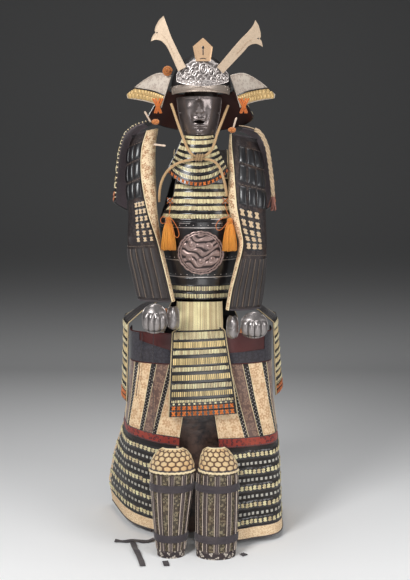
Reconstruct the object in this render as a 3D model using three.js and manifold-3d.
// Samurai armour on a chest stand: helmet, half mask, laced cuirass with skirt tassets,
// shoulder guards, armoured sleeves, thigh guard and shin guards.
//
// Frame: millimetres, +Z up. The armour faces -Y and +X is on the viewer's right, so "left"
// and "right" below are the viewer's. The origin is the middle of the chest's underside.

import * as THREE from 'three';
import { mergeVertices } from 'three/addons/utils/BufferGeometryUtils.js';
import Module from 'manifold-3d';

// ---------------------------------------------------------------- driving dimensions

const CHEST = { width: 380, depth: 360, height: 600, wall: 12, lidRim: 5, lidDrop: 60, lidTop: 14 };
const STAND = { post: 44, y: -60, top: 1500, foot: 170, footHeight: 18 };
const SHOULDER_BAR = { halfLength: 95, z: 1398, height: 26 };
const HIP_BAR = { halfLength: 230, z: 712, height: 40 };
const HEAD = { y: -75, blockRadius: 62, blockTop: 1752 };

const FIT = 0.4; // gap between pieces that meet
const CLOTH_WALL = 3; // quilted cloth and laced lames
const LEATHER_WALL = 2;
const PLATE_WALL = 3; // lacquered iron

// The cuirass by height: half width, and how far its front and back stand from the middle.
const TORSO = [
  { z: 885, halfWidth: 138, front: -182, back: 62 },
  { z: 960, halfWidth: 136, front: -188, back: 60 },
  { z: 1060, halfWidth: 142, front: -194, back: 62 },
  { z: 1170, halfWidth: 150, front: -198, back: 66 },
  { z: 1250, halfWidth: 146, front: -190, back: 68 },
  { z: 1330, halfWidth: 130, front: -176, back: 66 },
  { z: 1410, halfWidth: 112, front: -160, back: 60 },
];

// Where the armholes bite into the front and the back: half angle of cloth left, in degrees.
const ARMHOLE = [
  { z: 885, front: 89.6, back: 89.6 },
  { z: 1150, front: 89.6, back: 89.6 },
  { z: 1185, front: 72, back: 80 },
  { z: 1225, front: 50, back: 66 },
  { z: 1260, front: 43, back: 60 },
  { z: 1320, front: 42, back: 56 },
  { z: 1410, front: 42, back: 54 },
];

const FRONT_TOP = 1320;
const BACK_TOP = 1405;
const TORSO_BOTTOM = 885;

// Shoulder straps: from the front's top edge over the shoulder to the back's.
const STRAP_PATH = [
  { y: -156, z: 1323 },
  { y: -142, z: 1372 },
  { y: -104, z: 1412 },
  { y: -56, z: 1426 },
  { y: 0, z: 1422 },
  { y: 44, z: 1409 },
];
const STRAP_X = 76;
const STRAP_HALF_WIDTH = 21;

// The throat guard hangs from the mask: z is the front of each row, lift raises its sides.
const THROAT = [
  { z: 1296, halfWidth: 139, front: -219, lift: 140 },
  { z: 1350, halfWidth: 118, front: -206, lift: 94 },
  { z: 1410, halfWidth: 92, front: -190, lift: 42 },
  { z: 1472, halfWidth: 66, front: -174, lift: 14 },
];
const THROAT_HALF_ANGLE = 52;
const THROAT_MIDDLE = -10;

// Arms, shoulder first: the tube's inner and outer edges, its middle in y and half depth.
const ARM_LEFT = [
  { innerX: -163, innerZ: 1504, outerX: -252, outerZ: 1478, y: -58, halfDepth: 44 },
  { innerX: -171, innerZ: 1455, outerX: -268, outerZ: 1418, y: -75, halfDepth: 48 },
  { innerX: -173, innerZ: 1390, outerX: -272, outerZ: 1340, y: -98, halfDepth: 48 },
  { innerX: -170, innerZ: 1300, outerX: -268, outerZ: 1270, y: -122, halfDepth: 46 },
  { innerX: -166, innerZ: 1215, outerX: -263, outerZ: 1195, y: -140, halfDepth: 45 },
  { innerX: -156, innerZ: 1130, outerX: -266, outerZ: 1120, y: -150, halfDepth: 46 },
  { innerX: -141, innerZ: 1057, outerX: -262, outerZ: 1052, y: -162, halfDepth: 47 },
  { innerX: -119, innerZ: 970, outerX: -243, outerZ: 975, y: -192, halfDepth: 46 },
  { innerX: -98, innerZ: 887, outerX: -223, outerZ: 893, y: -230, halfDepth: 44 },
];
const ARM_RIGHT = [
  { innerX: 112, innerZ: 1484, outerX: 204, outerZ: 1466, y: -62, halfDepth: 44 },
  { innerX: 108, innerZ: 1436, outerX: 222, outerZ: 1408, y: -85, halfDepth: 46 },
  { innerX: 106, innerZ: 1380, outerX: 230, outerZ: 1340, y: -115, halfDepth: 46 },
  { innerX: 104, innerZ: 1300, outerX: 232, outerZ: 1270, y: -150, halfDepth: 45 },
  { innerX: 106, innerZ: 1225, outerX: 233, outerZ: 1195, y: -172, halfDepth: 44 },
  { innerX: 124, innerZ: 1150, outerX: 236, outerZ: 1120, y: -180, halfDepth: 44 },
  { innerX: 142, innerZ: 1085, outerX: 237, outerZ: 1080, y: -184, halfDepth: 44 },
  { innerX: 126, innerZ: 1000, outerX: 230, outerZ: 1000, y: -200, halfDepth: 44 },
  { innerX: 108, innerZ: 930, outerX: 222, outerZ: 935, y: -219, halfDepth: 44 },
  { innerX: 95, innerZ: 858, outerX: 212, outerZ: 866, y: -242, halfDepth: 43 },
];

const ARM_STEPS = 11;

// How far each leather border reaches round its arm from the inner side, in degrees.
const BORDER_REACH = { left: { cuff: 57, top: 84 }, right: { cuff: 39, top: 56 } };

// Shoulder guards, top edge first: how far out and how high the front edge runs.
const GUARD_LEFT = [
  { x: -190, z: 1528 },
  { x: -236, z: 1513 },
  { x: -271, z: 1486 },
  { x: -290, z: 1440 },
  { x: -300, z: 1385 },
  { x: -307, z: 1310 },
  { x: -312, z: 1244 },
];
const GUARD_RIGHT = [
  { x: 137, z: 1509 },
  { x: 178, z: 1502 },
  { x: 212, z: 1484 },
  { x: 236, z: 1440 },
  { x: 247, z: 1385 },
  { x: 257, z: 1310 },
  { x: 262, z: 1240 },
];
const GUARD = { front: -128, back: 96, bulge: 16, wall: 3, rearDrop: 46 };

// The thigh guard by height, in plan: the edge at the middle, two places along the front,
// and the edge that wraps back past the chest.
const THIGH_LEFT = [
  { z: 20, innerX: -92, innerY: -245, frontX: -181, frontY: -205, cornerX: -276, cornerY: -113,
    backX: -360, backY: 100 },
  { z: 110, innerX: -88, innerY: -240, frontX: -179, frontY: -206, cornerX: -283, cornerY: -100,
    backX: -374, backY: 105 },
  { z: 250, innerX: -83, innerY: -232, frontX: -176, frontY: -212, cornerX: -282, cornerY: -115,
    backX: -345, backY: 50 },
  { z: 380, innerX: -79, innerY: -226, frontX: -172, frontY: -214, cornerX: -272, cornerY: -140,
    backX: -302, backY: -4 },
  { z: 520, innerX: -56, innerY: -224, frontX: -160, frontY: -217, cornerX: -258, cornerY: -158,
    backX: -276, backY: -36 },
  { z: 655, innerX: -45, innerY: -226, frontX: -150, frontY: -219, cornerX: -251, cornerY: -162,
    backX: -264, backY: -58 },
];
const THIGH_RIGHT = [
  { z: 20, innerX: 80, innerY: -322, frontX: 180, frontY: -288, cornerX: 298, cornerY: -208,
    backX: 305, backY: 80 },
  { z: 110, innerX: 78, innerY: -300, frontX: 180, frontY: -272, cornerX: 294, cornerY: -195,
    backX: 304, backY: 80 },
  { z: 250, innerX: 74, innerY: -255, frontX: 178, frontY: -240, cornerX: 288, cornerY: -178,
    backX: 300, backY: 70 },
  { z: 380, innerX: 64, innerY: -228, frontX: 168, frontY: -220, cornerX: 276, cornerY: -163,
    backX: 290, backY: 50 },
  { z: 520, innerX: 42, innerY: -224, frontX: 152, frontY: -217, cornerX: 258, cornerY: -160,
    backX: 270, backY: -10 },
  { z: 655, innerX: 38, innerY: -226, frontX: 140, frontY: -219, cornerX: 250, cornerY: -162,
    backX: 262, backY: -50 },
];
// Seams of the thigh guard: heights at the middle edge and at the back edge.
const THIGH_SEAMS = {
  left: { top: [655, 655], panelBottom: [348, 389], bottom: [20, 20] },
  right: { top: [655, 655], panelBottom: [344, 353], bottom: [20, 20] },
};
const THIGH_BELT = { top: 768, bottom: 656 };
const BELT_LINE = [
  { x: -263, y: -58 },
  { x: -250, y: -163 },
  { x: -150, y: -219 },
  { x: -50, y: -227 },
  { x: 50, y: -227 },
  { x: 150, y: -219 },
  { x: 250, y: -163 },
  { x: 262, y: -52 },
];

// The front tasset with its lacing, from the cuirass down. Its left side hangs lower.
const TASSET_FRONT = [
  { z: 472, middle: 8, halfWidth: 124, y: -262 },
  { z: 600, middle: 2, halfWidth: 113, y: -255 },
  { z: 700, middle: -4, halfWidth: 102, y: -250 },
  { z: 778, middle: -8, halfWidth: 94, y: -246 },
  { z: 786, middle: -5, halfWidth: 83, y: -244 },
  { z: 830, middle: -5, halfWidth: 82, y: -222 },
  { z: 879, middle: -5, halfWidth: 81, y: -191 },
];
const TASSET_ROLL = 0.055;
const TASSET_BOW = 9;

// The side tassets in plan: front edge, two places along, back edge. Top row is at the cuirass.
const TASSET_LEFT = [
  { z: 490, frontX: -280, frontY: -122, foreX: -299, foreY: -60,
    aftX: -307, aftY: 10, backX: -304, backY: 75 },
  { z: 640, frontX: -274, frontY: -125, foreX: -292, foreY: -62,
    aftX: -302, aftY: 9, backX: -299, backY: 74 },
  { z: 788, frontX: -270, frontY: -126, foreX: -287, foreY: -62,
    aftX: -298, aftY: 8, backX: -295, backY: 72 },
  { z: 834, frontX: -218, frontY: -118, foreX: -232, foreY: -68,
    aftX: -236, aftY: -6, backX: -228, backY: 50 },
  { z: 879, frontX: -139, frontY: -98, foreX: -143, foreY: -66,
    aftX: -143, aftY: -34, backX: -139, backY: -6 },
];
const TASSET_RIGHT = [
  { z: 515, frontX: 282, frontY: -122, foreX: 303, foreY: -58,
    aftX: 315, aftY: 12, backX: 312, backY: 80 },
  { z: 650, frontX: 275, frontY: -124, foreX: 293, foreY: -60,
    aftX: 304, aftY: 10, backX: 301, backY: 78 },
  { z: 793, frontX: 269, frontY: -125, foreX: 283, foreY: -64,
    aftX: 292, aftY: 8, backX: 289, backY: 74 },
  { z: 836, frontX: 216, frontY: -116, foreX: 230, foreY: -68,
    aftX: 235, aftY: -6, backX: 226, backY: 50 },
  { z: 879, frontX: 139, frontY: -98, foreX: 143, foreY: -66,
    aftX: 143, aftY: -34, backX: 139, backY: -6 },
];
const TASSET_BACK = [
  { z: 480, halfWidth: 168, y: 216 },
  { z: 620, halfWidth: 158, y: 212 },
  { z: 765, halfWidth: 145, y: 198 },
  { z: 832, halfWidth: 118, y: 128 },
  { z: 879, halfWidth: 96, y: 56 },
];

// Shin guards, floor first: edges, the front of the curve, and how far the sides stand back.
const SHIN_LEFT = [
  { z: 2, left: -151, right: -60, front: -412, depth: 34 },
  { z: 60, left: -158, right: -54, front: -399, depth: 42 },
  { z: 140, left: -168, right: -44, front: -379, depth: 50 },
  { z: 220, left: -176, right: -32, front: -358, depth: 52 },
  { z: 281, left: -179, right: -27, front: -342, depth: 52 },
  { z: 283, left: -181, right: -26, front: -342, depth: 50 },
  { z: 305, left: -181, right: -27, front: -337, depth: 50 },
  { z: 335, left: -166, right: -38, front: -329, depth: 42 },
  { z: 356, left: -150, right: -52, front: -323, depth: 28 },
  { z: 367, left: -134, right: -66, front: -320, depth: 14 },
];
const SHIN_RIGHT = [
  { z: 2, left: -13, right: 120, front: -425, depth: 44 },
  { z: 60, left: -14, right: 125, front: -408, depth: 48 },
  { z: 140, left: -15, right: 129, front: -385, depth: 52 },
  { z: 220, left: -13, right: 131, front: -360, depth: 52 },
  { z: 281, left: -10, right: 129, front: -343, depth: 52 },
  { z: 283, left: -4, right: 131, front: -343, depth: 50 },
  { z: 305, left: -3, right: 129, front: -338, depth: 50 },
  { z: 335, left: 2, right: 113, front: -330, depth: 40 },
  { z: 358, left: 10, right: 97, front: -324, depth: 24 },
  { z: 370, left: 26, right: 82, front: -321, depth: 12 },
];
const SHIN_TOP = 281;
const KNEE_BOTTOM = 283;
const STRAP = { width: 19, upper: 232, lower: 66, wall: 2 };

// Gauntlets: the plate over the hand's back and fingers, and the one over the thumb.
const HANDS = {
  left: { middle: -163, halfWidth: 42, top: 886, bottom: 783, front: -322, thumbMiddle: -97, thumbTop: 874 },
  right: { middle: 188, halfWidth: 46, top: 858, bottom: 767, front: -330, thumbMiddle: 112, thumbTop: 842 },
};
const THUMB = { halfWidth: 21, height: 78 };

// Turned-back ends of the neck guard, helmet side first: the top edge and the lower edge.
const TURNBACK = [
  { topX: 106, topY: -120, topZ: 1688, lowX: 142, lowY: -128, lowZ: 1576 },
  { topX: 156, topY: -94, topZ: 1697, lowX: 170, lowY: -110, lowZ: 1591 },
  { topX: 214, topY: -60, topZ: 1672, lowX: 210, lowY: -76, lowZ: 1604 },
  { topX: 272, topY: -26, topZ: 1629, lowX: 270, lowY: -30, lowZ: 1617 },
];

// The neck guard flares from the bowl's rim: height at the sides, radii, drop at the back.
const NECK_GUARD = [
  { z: 1546, halfWidth: 192, halfDepth: 178, drop: 44 },
  { z: 1580, halfWidth: 172, halfDepth: 164, drop: 32 },
  { z: 1612, halfWidth: 148, halfDepth: 148, drop: 18 },
  { z: 1640, halfWidth: 117, halfDepth: 130, drop: 4 },
];

const BOWL = { halfWidth: 108, halfDepth: 125, rim: 1642, top: 1768 };
const VISOR = { halfAngle: 72, outer: 163, dip: 30 };
const CREST = { halfWidth: 160, halfDepth: 142, halfAngle: 34, shift: 6 };
const HORN_Y = -214;
const PLATE_THICK = 2.4;

// Outlines in the crest's own plane: x across, z up.
const HORN_LEFT = [
  { x: -51, z: 1707 }, { x: -97, z: 1798 }, { x: -116, z: 1846 }, { x: -129, z: 1881 },
  { x: -146, z: 1866 }, { x: -158, z: 1845 }, { x: -161, z: 1831 }, { x: -157, z: 1826 },
  { x: -164, z: 1820 }, { x: -171, z: 1809 }, { x: -174, z: 1796 }, { x: -160, z: 1801 },
  { x: -147, z: 1800 }, { x: -132, z: 1792 }, { x: -113, z: 1767 }, { x: -79, z: 1693 },
];
const HORN_RIGHT = [
  { x: 57, z: 1707 }, { x: 129, z: 1791 }, { x: 165, z: 1828 }, { x: 183, z: 1850 },
  { x: 191, z: 1868 }, { x: 203, z: 1850 }, { x: 210, z: 1826 }, { x: 211, z: 1811 },
  { x: 206, z: 1806 }, { x: 213, z: 1799 }, { x: 216, z: 1789 }, { x: 218, z: 1778 },
  { x: 203, z: 1786 }, { x: 188, z: 1788 }, { x: 168, z: 1780 }, { x: 147, z: 1757 },
  { x: 78, z: 1686 },
];
const CENTRE_PLATE = [
  { x: -17, z: 1726 }, { x: -27, z: 1775 }, { x: 8, z: 1805 }, { x: 42, z: 1773 }, { x: 34, z: 1726 },
];

// Cords: their routes, point by point, and their diameters.
const CHIN_CORD = 10;
const CHIN_LEFT = [
  [-106, -139, 1588], [-97, -146, 1562], [-88, -152, 1535], [-77, -161, 1504], [-66, -171, 1474],
  [-56, -181, 1449], [-46, -191, 1427], [-34, -202, 1410], [-25, -208, 1402],
];
const CHIN_RIGHT = [
  [98, -139, 1582], [89, -146, 1559], [80, -152, 1535], [69, -161, 1508], [59, -170, 1482],
  [51, -180, 1455], [42, -191, 1430], [28, -202, 1411], [15, -209, 1403],
];
const CHIN_KNOT = { x: -5, y: -211, z: 1396, radius: 13, halfLength: 16 };
const LOW_LEFT = [
  [-25, -211, 1390], [-42, -208, 1387], [-62, -203, 1383], [-82, -196, 1376], [-102, -187, 1364],
  [-119, -178, 1349], [-132, -166, 1330], [-142, -155, 1308], [-148, -145, 1284], [-151, -135, 1260],
  [-152, -127, 1238],
];
const LOW_RIGHT = [
  [15, -211, 1390], [32, -211, 1388], [49, -207, 1381], [62, -202, 1368], [72, -200, 1350],
  [78, -199, 1331], [84, -195, 1311], [88, -188, 1293], [91, -180, 1276], [92, -172, 1260],
];
const TASSEL = { head: 11, skirt: 26, height: 120 };
const TASSEL_LEFT = { x: -116, y: -190, z: 1186 };
const TASSEL_RIGHT = { x: 104, y: -200, z: 1184 };
const TASSEL_CORD = 2.6;
const TASSEL_CORD_LEFT = [
  [-111, -156, 1236], [-111, -162, 1222], [-112, -172, 1206], [-114, -184, 1194], [-114, -197, 1190],
  [-108, -206, 1184], [-98, -208, 1172], [-87, -208, 1154], [-80, -208, 1138], [-78, -208, 1123],
  [-84, -209, 1113], [-92, -210, 1119], [-96, -210, 1133], [-102, -211, 1152], [-110, -212, 1170],
  [-121, -213, 1184], [-134, -212, 1188],
  [-143, -209, 1179], [-141, -208, 1166], [-131, -209, 1164], [-122, -214, 1168], [-112, -218, 1161],
];
const TASSEL_CORD_RIGHT = [
  [88, -170, 1236], [89, -174, 1222], [93, -182, 1206], [99, -192, 1194], [100, -205, 1189],
  [90, -213, 1186], [76, -215, 1182], [62, -216, 1172], [54, -216, 1156], [58, -216, 1142],
  [70, -217, 1141], [82, -219, 1152], [94, -220, 1168], [106, -220, 1176], [115, -219, 1166],
];
const BELT_TIE = 2.4;
const BELT_TIE_LEFT = [
  [-171, -226, 766], [-171, -232, 752], [-172, -233, 720], [-173, -232, 680], [-173, -231, 635],
  [-174, -230, 590], [-173, -229, 545], [-174, -228, 500], [-175, -227, 460], [-174, -227, 425],
  [-176, -227, 392],
];
const BELT_TIE_OUTER = [
  [-214, -196, 766], [-214, -203, 752], [-216, -206, 720], [-219, -206, 685], [-223, -204, 650],
  [-226, -202, 615], [-231, -199, 580], [-236, -197, 545], [-237, -197, 530],
];

// Cloth ties that lie on the floor beside the shin guards: centre line and twist.
const FLOOR_TIE = { width: 20, wall: 1.6 };
const FLOOR_TIES = {
  shin_tie_long: [[-172, -262, 8], [-205, -275, 3], [-240, -270, 6], [-275, -272, 3], [-316, -268, 4]],
  shin_tie_tail: [[-248, -292, 7], [-238, -330, 4], [-228, -370, 9], [-212, -420, 4], [-199, -478, 3]],
};

// ---------------------------------------------------------------- finishes

const finish = (color, roughness, metalness = 0) =>
  new THREE.MeshStandardMaterial({ color, roughness, metalness, side: THREE.FrontSide });

const FINISHES = {
  wood: finish(0x3a2a2a, 0.45),
  blackLacquer: finish(0x242022, 0.28),
  creamLacing: finish(0xe2d6a0, 0.8),
  orangeLacing: finish(0xd7692d, 0.8),
  creamLeather: finish(0xe1c8a0, 0.7),
  paleLeather: finish(0xebe1d7, 0.55),
  darkCloth: finish(0x3c3234, 0.9),
  maroonLacquer: finish(0x461414, 0.3),
  armourCloth: finish(0x322d2a, 0.85),
  hornMetal: finish(0xd7c8af, 0.4, 0.8),
  silver: finish(0x969191, 0.4, 0.9),
  pewter: finish(0x827d7d, 0.3, 0.8),
  bronze: finish(0x695858, 0.45, 0.6),
  shinIron: finish(0x504848, 0.55, 0.2),
  strapCloth: finish(0x4b4144, 0.9),
  kneeCloth: finish(0xf0d7a0, 0.8),
  rope: finish(0xc8a578, 0.85),
};

// ---------------------------------------------------------------- geometry helpers

const wasm = await Module();
wasm.setup();

const armour = new THREE.Group();

/** Adds a named piece to the armour. */
function piece(name, geometry, material) {
  const mesh = new THREE.Mesh(geometry, material);
  mesh.name = name;
  armour.add(mesh);
  return mesh;
}

const radians = (degrees) => (degrees * Math.PI) / 180;
const mix = (from, to, share) => from + (to - from) * share;

/** Smooth value through equally weighted rows: Catmull-Rom, with its ends held. */
function curveThrough(values, share) {
  const last = values.length - 1;
  const place = Math.min(Math.max(share, 0), 1) * last;
  const step = Math.min(Math.floor(place), last - 1);
  const t = place - step;
  const before = values[Math.max(step - 1, 0)];
  const from = values[step];
  const to = values[step + 1];
  const after = values[Math.min(step + 2, last)];
  const slopeFrom = (to - before) / 2;
  const slopeTo = (after - from) / 2;
  return from * (2 * t ** 3 - 3 * t ** 2 + 1) + slopeFrom * (t ** 3 - 2 * t ** 2 + t)
    + to * (3 * t ** 2 - 2 * t ** 3) + slopeTo * (t ** 3 - t ** 2);
}

/** One column of a table, as a smooth curve along its rows. */
const along = (rows, column, share) => curveThrough(rows.map((row) => row[column]), share);

/** One column of a table read at a height, straight between the rows around it. */
function atHeight(rows, column, z) {
  const above = rows.findIndex((row) => row.z >= z);
  if (above === 0) return rows[0][column];
  if (above < 0) return rows[rows.length - 1][column];
  const low = rows[above - 1];
  const high = rows[above];
  return mix(low[column], high[column], (z - low.z) / (high.z - low.z));
}

/** A point of an upright ellipse; angle 0 is the front, and it grows towards +X. */
function onEllipse(middleX, middleY, halfWidth, halfDepth, angle, z) {
  return new THREE.Vector3(
    middleX + halfWidth * Math.sin(angle), middleY - halfDepth * Math.cos(angle), z);
}

/** Outward direction of a surface at (u, v): across times up, from small steps. */
function outwards(surface, u, v, loop) {
  const step = 1e-3;
  const low = (value) => (loop ? value - step : Math.max(value - step, 0));
  const high = (value) => (loop ? value + step : Math.min(value + step, 1));
  const across = surface(high(u), v).sub(surface(low(u), v));
  const up = surface(u, Math.min(v + step, 1)).sub(surface(u, Math.max(v - step, 0)));
  return across.cross(up).normalize();
}

/**
 * A closed wall on a surface. u runs left to right as seen from outside, v from bottom to top;
 * the wall lies inside the surface, and a loop joins its two sides into a tube.
 */
function wall(surface, columns, rows, thickness, { loop = false, normal = null } = {}) {
  const ring = loop ? columns : columns + 1;
  const outer = [];
  const inner = [];
  for (let row = 0; row <= rows; row += 1) {
    for (let column = 0; column < ring; column += 1) {
      const u = column / columns;
      const v = row / rows;
      const point = surface(u, v);
      const direction = normal ?? outwards(surface, u, v, loop);
      outer.push(point);
      inner.push(point.clone().addScaledVector(direction, -thickness));
    }
  }
  const shift = outer.length;
  const at = (column, row) => row * ring + (column % ring);
  const faces = [];
  const quad = (a, b, c, d) => faces.push(a, b, c, a, c, d);
  for (let row = 0; row < rows; row += 1) {
    for (let column = 0; column < columns; column += 1) {
      const [a, b] = [at(column, row), at(column + 1, row)];
      const [c, d] = [at(column + 1, row + 1), at(column, row + 1)];
      quad(a, b, c, d);
      quad(shift + b, shift + a, shift + d, shift + c);
    }
  }
  for (let column = 0; column < columns; column += 1) {
    const [a, b] = [at(column, 0), at(column + 1, 0)];
    const [c, d] = [at(column + 1, rows), at(column, rows)];
    quad(b, a, shift + a, shift + b);
    quad(d, c, shift + c, shift + d);
  }
  if (!loop) {
    for (let row = 0; row < rows; row += 1) {
      const [a, b] = [at(0, row), at(0, row + 1)];
      const [c, d] = [at(columns, row + 1), at(columns, row)];
      quad(a, b, shift + b, shift + a);
      quad(c, d, shift + d, shift + c);
    }
  }
  const geometry = new THREE.BufferGeometry();
  const places = [...outer, ...inner].flatMap((point) => [point.x, point.y, point.z]);
  geometry.setAttribute('position', new THREE.Float32BufferAttribute(places, 3));
  geometry.setIndex(faces);
  return geometry;
}

/** A geometry with only merged positions, as joins and cuts need it. */
function bare(geometry) {
  const copy = geometry.clone();
  copy.deleteAttribute('normal');
  copy.deleteAttribute('uv');
  return mergeVertices(copy, 1e-4);
}

const toManifold = (geometry) => {
  const source = bare(geometry);
  return new wasm.Manifold(new wasm.Mesh({
    numProp: 3,
    vertProperties: new Float32Array(source.attributes.position.array),
    triVerts: new Uint32Array(source.index.array),
  }));
};

const fromManifold = (solid) => {
  const mesh = solid.getMesh();
  const geometry = new THREE.BufferGeometry();
  geometry.setAttribute('position', new THREE.BufferAttribute(mesh.vertProperties, 3));
  geometry.setIndex(new THREE.BufferAttribute(mesh.triVerts, 1));
  return geometry;
};

/** A box from its two corners. */
function box(low, high) {
  const size = high.map((value, axis) => value - low[axis]);
  const geometry = new THREE.BoxGeometry(...size);
  geometry.translate(...low.map((value, axis) => (value + high[axis]) / 2));
  return geometry;
}

const joined = (geometries) => fromManifold(
  geometries.map(toManifold).reduce((whole, solid) => whole.add(solid)));

const cut = (geometry, cutter) => fromManifold(toManifold(geometry).subtract(toManifold(cutter)));

/** A round cord along its route. */
function cord(route, diameter, sides = 8, stepsEach = 2) {
  const path = new THREE.CatmullRomCurve3(route.map((point) => new THREE.Vector3(...point)));
  const section = new THREE.Shape(Array.from({ length: sides }, (_, side) => {
    const turn = (side / sides) * 2 * Math.PI;
    return new THREE.Vector2((diameter / 2) * Math.cos(turn), (diameter / 2) * Math.sin(turn));
  }));
  const steps = Math.min(80, (route.length - 1) * stepsEach);
  return new THREE.ExtrudeGeometry(section, { steps, extrudePath: path });
}

/** A flat plate from an outline in x and z, with its front face at y. */
function plate(outline, y, thickness) {
  const shape = new THREE.Shape(outline.map((point) => new THREE.Vector2(point.x, point.z)));
  const geometry = new THREE.ExtrudeGeometry(shape, { depth: thickness, bevelEnabled: false });
  geometry.rotateX(Math.PI / 2);
  geometry.translate(0, y + thickness, 0);
  return geometry;
}

// ---------------------------------------------------------------- chest and stand

function buildChest() {
  const [halfWidth, halfDepth] = [CHEST.width / 2, CHEST.depth / 2];
  const bodyTop = CHEST.height - CHEST.lidTop - FIT;
  const hollow = box(
    [CHEST.wall - halfWidth, CHEST.wall - halfDepth, CHEST.wall],
    [halfWidth - CHEST.wall, halfDepth - CHEST.wall, CHEST.height]);
  const body = box([-halfWidth, -halfDepth, 0], [halfWidth, halfDepth, bodyTop]);
  piece('chest_body', cut(body, hollow), FINISHES.wood);

  const [lidX, lidY] = [halfWidth + FIT + CHEST.lidRim, halfDepth + FIT + CHEST.lidRim];
  const lidHollow = box(
    [-halfWidth - FIT, -halfDepth - FIT, 0],
    [halfWidth + FIT, halfDepth + FIT, CHEST.height - CHEST.lidTop]);
  const lidBottom = CHEST.height - CHEST.lidDrop;
  const lid = box([-lidX, -lidY, lidBottom], [lidX, lidY, CHEST.height]);
  piece('chest_lid', cut(lid, lidHollow), FINISHES.wood);
}

function buildStand() {
  const [half, y] = [STAND.post / 2, STAND.y];
  const bottom = CHEST.height + FIT;
  const bar = ({ halfLength, z, height }) => box(
    [-halfLength, y - half + 2, z - height / 2], [halfLength, y + half - 2, z + height / 2]);
  const foot = box([-STAND.foot / 2, y - STAND.foot / 2, bottom],
    [STAND.foot / 2, y + STAND.foot / 2, bottom + STAND.footHeight]);
  const post = box([-half, y - half, bottom], [half, y + half, STAND.top]);
  piece('stand_frame', joined([post, foot, bar(SHOULDER_BAR), bar(HIP_BAR)]), FINISHES.wood);

  const low = STAND.top + FIT;
  const radius = HEAD.blockRadius;
  const profile = [[0, low], [radius * 0.7, low], [radius * 0.92, low + 30], [radius, low + 90],
    [radius * 0.97, HEAD.blockTop - 70], [radius * 0.8, HEAD.blockTop - 28],
    [radius * 0.45, HEAD.blockTop - 6], [0, HEAD.blockTop]];
  const block = new THREE.LatheGeometry(profile.map(([x, z]) => new THREE.Vector2(x, z)), 16);
  block.rotateX(Math.PI / 2);
  block.translate(0, HEAD.y, 0);
  piece('head_block', bare(block), FINISHES.wood);
}

// ---------------------------------------------------------------- helmet

function buildBowl() {
  const steps = 6;
  const arc = (radius, top, rim) => Array.from({ length: steps + 1 }, (_, step) => {
    const angle = (step / steps) * (Math.PI / 2);
    return new THREE.Vector2(radius * Math.sin(angle), rim + (top - rim) * Math.cos(angle));
  });
  const outer = arc(BOWL.halfWidth, BOWL.top, BOWL.rim);
  const inner = arc(BOWL.halfWidth - PLATE_WALL, BOWL.top - PLATE_WALL, BOWL.rim).reverse();
  outer[0].x = 0;
  inner[inner.length - 1].x = 0;
  const bowl = new THREE.LatheGeometry([...outer, ...inner].reverse(), 18);
  bowl.rotateX(Math.PI / 2);
  bowl.scale(1, BOWL.halfDepth / BOWL.halfWidth, 1);
  bowl.translate(0, HEAD.y, 0);
  piece('helmet_bowl', bare(bowl), FINISHES.blackLacquer);
}

/** The peak over the eyes: from the bowl's rim out and down, deepest at the front. */
function visorPoint(u, v) {
  const angle = radians(mix(-VISOR.halfAngle, VISOR.halfAngle, u));
  const reach = 1 - v;
  const halfDepth = BOWL.halfDepth + 2 + reach * (VISOR.outer - BOWL.halfDepth);
  const z = BOWL.rim + 9 - reach * VISOR.dip + 4 * reach * Math.cos(angle);
  return onEllipse(0, HEAD.y, BOWL.halfWidth + 2 - 3 * reach, halfDepth, angle, z);
}

/** The upright crown plate that holds the horns, over the visor. */
function crestPoint(u, v) {
  const angle = radians(mix(-CREST.halfAngle, CREST.halfAngle, u));
  const side = Math.abs(angle) / radians(CREST.halfAngle);
  const bottom = 1643 + 17 * side ** 2;
  const top = 1737 - 37 * side ** 1.6;
  const depth = CREST.halfDepth + 4 * (1 - v);
  return onEllipse(CREST.shift, HEAD.y, CREST.halfWidth, depth, angle, mix(bottom, top, v));
}

function buildCrest() {
  piece('crest_base', wall(crestPoint, 14, 4, PLATE_THICK), FINISHES.silver);
  const turn = radians(8);
  for (const [name, outline, side] of [['left', HORN_LEFT, -1], ['right', HORN_RIGHT, 1]]) {
    const horn = plate(outline, 0, PLATE_THICK);
    const root = side * 50;
    horn.translate(-root, 0, 0);
    horn.rotateZ(side * turn);
    horn.translate(root, HORN_Y - PLATE_THICK - 4, 0);
    piece(`crest_horn_${name}`, horn, FINISHES.hornMetal);
  }
  piece('crest_centre_plate', plate(CENTRE_PLATE, -226, PLATE_THICK), FINISHES.hornMetal);
}

/** Neck guard: laced lames that flare and drop towards the back. */
function neckPoint(u, v) {
  const angle = radians(mix(81, 279, u));
  const back = Math.max(0, -Math.cos(angle));
  const z = along(NECK_GUARD, 'z', v) - along(NECK_GUARD, 'drop', v) * back;
  return onEllipse(0, HEAD.y, along(NECK_GUARD, 'halfWidth', v), along(NECK_GUARD, 'halfDepth', v),
    angle, z);
}

/** Turned-back wing beside the face, bellied towards the front. */
function turnbackPoint(side) {
  return (u, v) => {
    const share = side > 0 ? u : 1 - u;
    const read = (edge) => new THREE.Vector3(
      side * along(TURNBACK, `${edge}X`, share), along(TURNBACK, `${edge}Y`, share),
      along(TURNBACK, `${edge}Z`, share));
    const point = read('low').lerp(read('top'), v);
    point.y -= 12 * Math.sin(Math.PI * v) * (1 - 0.6 * share);
    return point;
  };
}

function buildHelmet() {
  buildBowl();
  piece('helmet_visor', wall(visorPoint, 14, 3, PLATE_THICK), FINISHES.silver);
  piece('neck_guard', wall(neckPoint, 12, 3, CLOTH_WALL), FINISHES.blackLacquer);
  piece('turnback_left', wall(turnbackPoint(-1), 8, 4, LEATHER_WALL), FINISHES.paleLeather);
  piece('turnback_right', wall(turnbackPoint(1), 8, 4, LEATHER_WALL), FINISHES.paleLeather);
  buildCrest();
}

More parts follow.
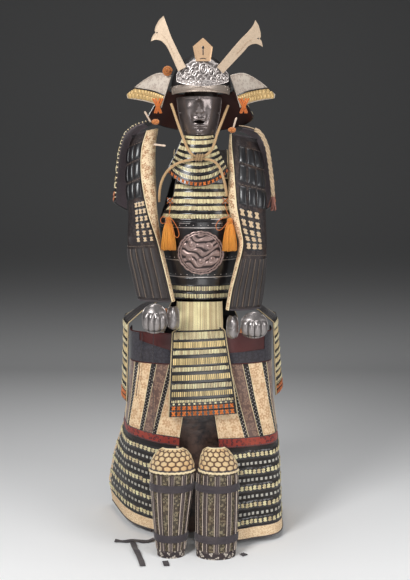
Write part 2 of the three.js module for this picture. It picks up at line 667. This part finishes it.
// ---------------------------------------------------------------- mask and throat guard

/** A calm half mask: cheeks, a straight nose and a rounded chin, open behind. */
function maskPoint(u, v) {
  const angle = radians(mix(-82, 82, u));
  const z = mix(1478, 1610, v);
  const taper = 1 - 0.3 * (1 - v) ** 1.6;
  const ridge = Math.exp(-((angle / 0.2) ** 2));
  const nose = 17 * ridge * Math.exp(-(((v - 0.72) / 0.17) ** 2));
  const chin = 9 * Math.exp(-((angle / 0.42) ** 2)) * Math.exp(-(((v - 0.12) / 0.16) ** 2));
  const cheek = 6 * Math.exp(-(((Math.abs(angle) - 0.75) / 0.3) ** 2))
    * Math.exp(-(((v - 0.66) / 0.2) ** 2));
  const depth = mix(90, 102, v) + nose + chin + cheek;
  return onEllipse(-6, HEAD.y, 81 * taper, depth, angle, z);
}

function buildMask() {
  const mask = wall(maskPoint, 14, 9, PLATE_WALL);
  const mouth = new THREE.SphereGeometry(1, 10, 6);
  mouth.scale(25, 60, 7);
  mouth.translate(-6, -180, 1522);
  piece('face_mask', cut(mask, mouth), FINISHES.blackLacquer);
}

/** Throat guard: rows of laced lames that widen downwards and lift at the sides. */
function throatPoint(u, v) {
  const angle = radians(mix(-THROAT_HALF_ANGLE, THROAT_HALF_ANGLE, u));
  const lift = along(THROAT, 'lift', v) * (1 - Math.cos(angle));
  const halfDepth = HEAD.y - along(THROAT, 'front', v);
  return onEllipse(THROAT_MIDDLE, HEAD.y, along(THROAT, 'halfWidth', v), halfDepth, angle,
    along(THROAT, 'z', v) + lift);
}

// ---------------------------------------------------------------- cuirass

/** A point of the cuirass: angle from the front, height, and how far it stands off. */
function torsoPoint(angle, z, off = 0) {
  const front = atHeight(TORSO, 'front', z);
  const back = atHeight(TORSO, 'back', z);
  return onEllipse(0, (front + back) / 2, atHeight(TORSO, 'halfWidth', z) + off,
    (back - front) / 2 + off, angle, z);
}

function cuirassHalf(column, middle, top) {
  return (u, v) => {
    const z = mix(TORSO_BOTTOM, top, v);
    const half = radians(atHeight(ARMHOLE, column, z));
    return torsoPoint(middle + mix(-half, half, u), z);
  };
}

/** Shoulder strap: over the shoulder from the front's top edge to the back's. */
function strapPoint(side) {
  return (u, v) => {
    const out = mix(-1, 1, u);
    const x = side * STRAP_X + out * STRAP_HALF_WIDTH;
    const followsFront = side * out * 13 * (1 - v) ** 2;
    return new THREE.Vector3(x, along(STRAP_PATH, 'y', v) + followsFront, along(STRAP_PATH, 'z', v));
  };
}

/** The round boss on the cuirass: a square spread over a disc, laid on the torso. */
function medallionPoint(u, v) {
  const [a, b] = [2 * u - 1, 2 * v - 1];
  const radius = 77;
  const across = a * Math.sqrt(1 - b * b / 2);
  const up = b * Math.sqrt(1 - a * a / 2);
  const rise = 3 * (1 - Math.min(1, across ** 2 + up ** 2));
  const z = 1058 + radius * up;
  const angle = Math.asin((radius * across) / atHeight(TORSO, 'halfWidth', z));
  return torsoPoint(angle, z, 9 + rise);
}

function buildCuirass() {
  piece('cuirass_front', wall(cuirassHalf('front', 0, FRONT_TOP), 12, 10, PLATE_WALL),
    FINISHES.blackLacquer);
  piece('cuirass_back', wall(cuirassHalf('back', Math.PI, BACK_TOP), 12, 10, PLATE_WALL),
    FINISHES.blackLacquer);
  piece('shoulder_strap_left', wall(strapPoint(-1), 2, 10, CLOTH_WALL), FINISHES.darkCloth);
  piece('shoulder_strap_right', wall(strapPoint(1), 2, 10, CLOTH_WALL), FINISHES.darkCloth);
  const forward = new THREE.Vector3(0, -1, 0);
  piece('chest_medallion', wall(medallionPoint, 8, 8, 6, { normal: forward }), FINISHES.bronze);
}

// ---------------------------------------------------------------- tassets

function frontTassetPoint(u, v) {
  const z = mix(TASSET_FRONT[0].z, TASSET_FRONT[TASSET_FRONT.length - 1].z, v);
  const across = mix(-1, 1, u);
  const x = atHeight(TASSET_FRONT, 'middle', z) + across * atHeight(TASSET_FRONT, 'halfWidth', z);
  const y = atHeight(TASSET_FRONT, 'y', z) + TASSET_BOW * across ** 2;
  return new THREE.Vector3(x, y, z + TASSET_ROLL * x * (1 - v));
}

/** A side tasset: four places in plan joined by a smooth curve, row by row. */
function sideTassetPoint(rows, side) {
  return (u, v) => {
    const share = side > 0 ? u : 1 - u;
    const z = mix(rows[0].z, rows[rows.length - 1].z, v);
    const read = (axis) => curveThrough(
      ['front', 'fore', 'aft', 'back'].map((place) => atHeight(rows, place + axis, z)), share);
    return new THREE.Vector3(read('X'), read('Y'), z);
  };
}

function backTassetPoint(u, v) {
  const z = mix(TASSET_BACK[0].z, TASSET_BACK[TASSET_BACK.length - 1].z, v);
  const across = mix(1, -1, u);
  const y = atHeight(TASSET_BACK, 'y', z) - 16 * across ** 2;
  return new THREE.Vector3(across * atHeight(TASSET_BACK, 'halfWidth', z), y, z);
}

function buildTassets() {
  piece('tasset_front', wall(frontTassetPoint, 5, 11, CLOTH_WALL), FINISHES.creamLacing);
  piece('tasset_left', wall(sideTassetPoint(TASSET_LEFT, -1), 6, 9, CLOTH_WALL), FINISHES.creamLacing);
  piece('tasset_right', wall(sideTassetPoint(TASSET_RIGHT, 1), 6, 9, CLOTH_WALL), FINISHES.creamLacing);
  piece('tasset_back', wall(backTassetPoint, 6, 9, CLOTH_WALL), FINISHES.creamLacing);
}

// ---------------------------------------------------------------- sleeves, hands, guards

/** A sleeve's tube: angle 0 is its front; the rows tilt from the inner to the outer edge. */
function armPoint(rows, angle, share, off = 0) {
  const read = (column) => along(rows, column, share);
  const middleX = (read('innerX') + read('outerX')) / 2;
  const halfWidth = Math.abs(read('outerX') - read('innerX')) / 2;
  const outward = Math.sign(middleX) * Math.sin(angle);
  const z = mix(read('innerZ'), read('outerZ'), (1 + outward) / 2);
  return onEllipse(middleX, read('y'), halfWidth + off, read('halfDepth') + off, angle, z);
}

/** The leather border down the sleeve's inner front edge. */
function armEdgePoint(rows, side) {
  const border = side < 0 ? BORDER_REACH.left : BORDER_REACH.right;
  return (u, v) => {
    const reach = mix(border.cuff, border.top, v);
    const angle = side < 0 ? mix(90 - reach, 104, u) : mix(-104, reach - 90, u);
    return armPoint(rows, radians(angle), 1 - v, LEATHER_WALL + 3);
  };
}

/** Gauntlet plate: an arch across the hand, rounded over the knuckles. */
function handPoint(hand) {
  return (u, v) => {
    const across = mix(-1, 1, u);
    const z = mix(hand.bottom, hand.top, v) + 5 * (1 - v) * across ** 2;
    const knuckle = Math.sin(Math.PI * Math.min(1, 0.12 + v * 0.83)) ** 0.8;
    const y = hand.front + 36 * (1 - knuckle) + mix(30, 8, v ** 2) * across ** 2;
    const narrow = 1 - 0.16 * (1 - v) ** 2;
    return new THREE.Vector3(hand.middle + across * hand.halfWidth * narrow, y, z);
  };
}

function thumbPoint(hand) {
  return (u, v) => {
    const across = mix(-1, 1, u);
    const z = mix(hand.thumbTop - THUMB.height, hand.thumbTop, v);
    const round = Math.sin(Math.PI * (0.15 + v * 0.7));
    const y = hand.front + 22 - 12 * round + 18 * across ** 2;
    const width = THUMB.halfWidth * (0.72 + 0.28 * round);
    return new THREE.Vector3(hand.thumbMiddle + across * width, y, z);
  };
}

/** Shoulder guard: the front edge's curve carried back round the upper arm. */
function guardPoint(rows, side) {
  return (u, v) => {
    const depth = side > 0 ? u : 1 - u;
    const share = 1 - v;
    const round = Math.sin(Math.PI * depth);
    const x = along(rows, 'x', share) + side * (GUARD.bulge * round - 22 * depth ** 2) * share;
    const z = along(rows, 'z', share) - GUARD.rearDrop * depth ** 1.5 * share;
    return new THREE.Vector3(x, mix(GUARD.front, GUARD.back, depth), z);
  };
}

function buildArms() {
  const arms = [['left', ARM_LEFT, -1, GUARD_LEFT], ['right', ARM_RIGHT, 1, GUARD_RIGHT]];
  for (const [name, rows, side, guard] of arms) {
    const tube = (u, v) => armPoint(rows, 2 * Math.PI * u, 1 - v);
    const edge = wall(armEdgePoint(rows, side), 4, ARM_STEPS, LEATHER_WALL);
    const hand = wall(handPoint(HANDS[name]), 6, 6, LEATHER_WALL);
    const thumb = wall(thumbPoint(HANDS[name]), 4, 4, LEATHER_WALL);
    const shoulder = wall(guardPoint(guard, side), 5, 9, GUARD.wall);
    piece(`sleeve_${name}`, wall(tube, 12, ARM_STEPS, CLOTH_WALL, { loop: true }), FINISHES.darkCloth);
    piece(`sleeve_edge_${name}`, edge, FINISHES.creamLeather);
    piece(`hand_plate_${name}`, hand, FINISHES.pewter);
    piece(`thumb_plate_${name}`, thumb, FINISHES.pewter);
    piece(`shoulder_guard_${name}`, shoulder, FINISHES.blackLacquer);
  }
}

// ---------------------------------------------------------------- thigh guard

/** A stretch of the thigh guard between two seams, each with a height at both ends. */
function thighPoint(rows, side, bottom, top) {
  return (u, v) => {
    const share = side > 0 ? u : 1 - u;
    const z = mix(mix(bottom[0], bottom[1], share), mix(top[0], top[1], share), v);
    const read = (axis) => curveThrough(
      ['inner', 'front', 'corner', 'back'].map((place) => atHeight(rows, place + axis, z)), share);
    return new THREE.Vector3(read('X'), read('Y'), z);
  };
}

function beltPoint(u, v) {
  return new THREE.Vector3(along(BELT_LINE, 'x', u), along(BELT_LINE, 'y', u),
    mix(THIGH_BELT.bottom, THIGH_BELT.top, v));
}

function buildThighGuard() {
  piece('thigh_belt', wall(beltPoint, 16, 1, CLOTH_WALL), FINISHES.maroonLacquer);
  for (const [name, rows, side] of [['left', THIGH_LEFT, -1], ['right', THIGH_RIGHT, 1]]) {
    const seams = THIGH_SEAMS[name];
    const below = (seam) => seam.map((z) => z - FIT);
    const stretch = (bottom, top, steps) => wall(
      thighPoint(rows, side, bottom, top), 10, steps, CLOTH_WALL);
    piece(`thigh_panel_${name}`, stretch(seams.panelBottom, seams.top, 3), FINISHES.creamLeather);
    const armoured = stretch(seams.bottom, below(seams.panelBottom), 4);
    piece(`thigh_armour_${name}`, armoured, FINISHES.armourCloth);
  }
}

// ---------------------------------------------------------------- shin guards

/** A shin guard's curve at a height: angle 0 is the front, its sides stand back. */
function shinPoint(rows, angle, z, off = 0) {
  const left = atHeight(rows, 'left', z);
  const right = atHeight(rows, 'right', z);
  const depth = atHeight(rows, 'depth', z);
  const front = atHeight(rows, 'front', z);
  return onEllipse((left + right) / 2, front + depth, (right - left) / 2 + off, depth + off, angle, z);
}

function buildShinGuards() {
  for (const [name, rows] of [['left', SHIN_LEFT], ['right', SHIN_RIGHT]]) {
    const stretch = (bottom, top, half, off) => (u, v) => shinPoint(
      rows, radians(mix(-half, half, u)), mix(bottom, top, v), off);
    piece(`shin_guard_${name}`, wall(stretch(rows[0].z, SHIN_TOP, 88, 0), 10, 5, PLATE_WALL),
      FINISHES.shinIron);
    const knee = stretch(KNEE_BOTTOM, rows[rows.length - 1].z, 88, 0);
    piece(`knee_panel_${name}`, wall(knee, 10, 4, CLOTH_WALL), FINISHES.kneeCloth);
    for (const place of ['upper', 'lower']) {
      const low = STRAP[place] - STRAP.width / 2;
      const band = stretch(low, low + STRAP.width, 86, STRAP.wall + 1.4);
      piece(`shin_strap_${name}_${place}`, wall(band, 10, 1, STRAP.wall), FINISHES.strapCloth);
    }
  }
}

/** Cloth ties that lie on the floor: a ribbon carried along its centre line. */
function buildFloorTies() {
  for (const [name, route] of Object.entries(FLOOR_TIES)) {
    const path = new THREE.CatmullRomCurve3(route.map((point) => new THREE.Vector3(...point)));
    const ribbon = (u, v) => {
      const middle = path.getPoint(u);
      const tangent = path.getTangent(u);
      const across = new THREE.Vector3(-tangent.y, tangent.x, 0).normalize();
      return middle.addScaledVector(across, (v - 0.5) * FLOOR_TIE.width);
    };
    const up = new THREE.Vector3(0, 0, 1);
    piece(name, wall(ribbon, 10, 1, FLOOR_TIE.wall, { normal: up }), FINISHES.strapCloth);
  }
}

// ---------------------------------------------------------------- cords and tassels

function buildTassel(name, { x, y, z }) {
  const { head, skirt, height } = TASSEL;
  const profile = [[0, 0], [head * 0.7, -2], [head, -9], [head * 0.75, -18], [head * 1.25, -26],
    [skirt * 0.75, -55], [skirt * 0.95, -90], [skirt, -height], [0, -height]];
  const outline = profile.map(([r, drop]) => new THREE.Vector2(r, drop)).reverse();
  const body = new THREE.LatheGeometry(outline, 14);
  body.rotateX(Math.PI / 2);
  body.translate(x, y, z);
  piece(`tassel_${name}`, bare(body), FINISHES.orangeLacing);
}

function buildCords() {
  piece('chin_cord_left', cord(CHIN_LEFT, CHIN_CORD), FINISHES.rope);
  piece('chin_cord_right', cord(CHIN_RIGHT, CHIN_CORD), FINISHES.rope);
  const waist = 2 * (CHIN_KNOT.halfLength - CHIN_KNOT.radius);
  const knot = new THREE.CapsuleGeometry(CHIN_KNOT.radius, waist, 3, 10);
  knot.rotateZ(Math.PI / 2);
  knot.translate(CHIN_KNOT.x, CHIN_KNOT.y, CHIN_KNOT.z);
  piece('chin_knot', bare(knot), FINISHES.rope);
  piece('chest_cord_left', cord(LOW_LEFT, CHIN_CORD), FINISHES.rope);
  piece('chest_cord_right', cord(LOW_RIGHT, CHIN_CORD), FINISHES.rope);
  buildTassel('left', TASSEL_LEFT);
  buildTassel('right', TASSEL_RIGHT);
  piece('tassel_cord_left', cord(TASSEL_CORD_LEFT, TASSEL_CORD), FINISHES.orangeLacing);
  piece('tassel_cord_right', cord(TASSEL_CORD_RIGHT, TASSEL_CORD), FINISHES.orangeLacing);
  piece('belt_tie_left', cord(BELT_TIE_LEFT, BELT_TIE), FINISHES.strapCloth);
  piece('belt_tie_outer', cord(BELT_TIE_OUTER, BELT_TIE), FINISHES.strapCloth);
}

// ---------------------------------------------------------------- assembly

buildChest();
buildStand();
buildHelmet();
buildMask();
piece('throat_guard', wall(throatPoint, 14, 7, CLOTH_WALL), FINISHES.creamLacing);
buildCuirass();
buildTassets();
buildArms();
buildThighGuard();
buildShinGuards();
buildFloorTies();
buildCords();

export default armour;
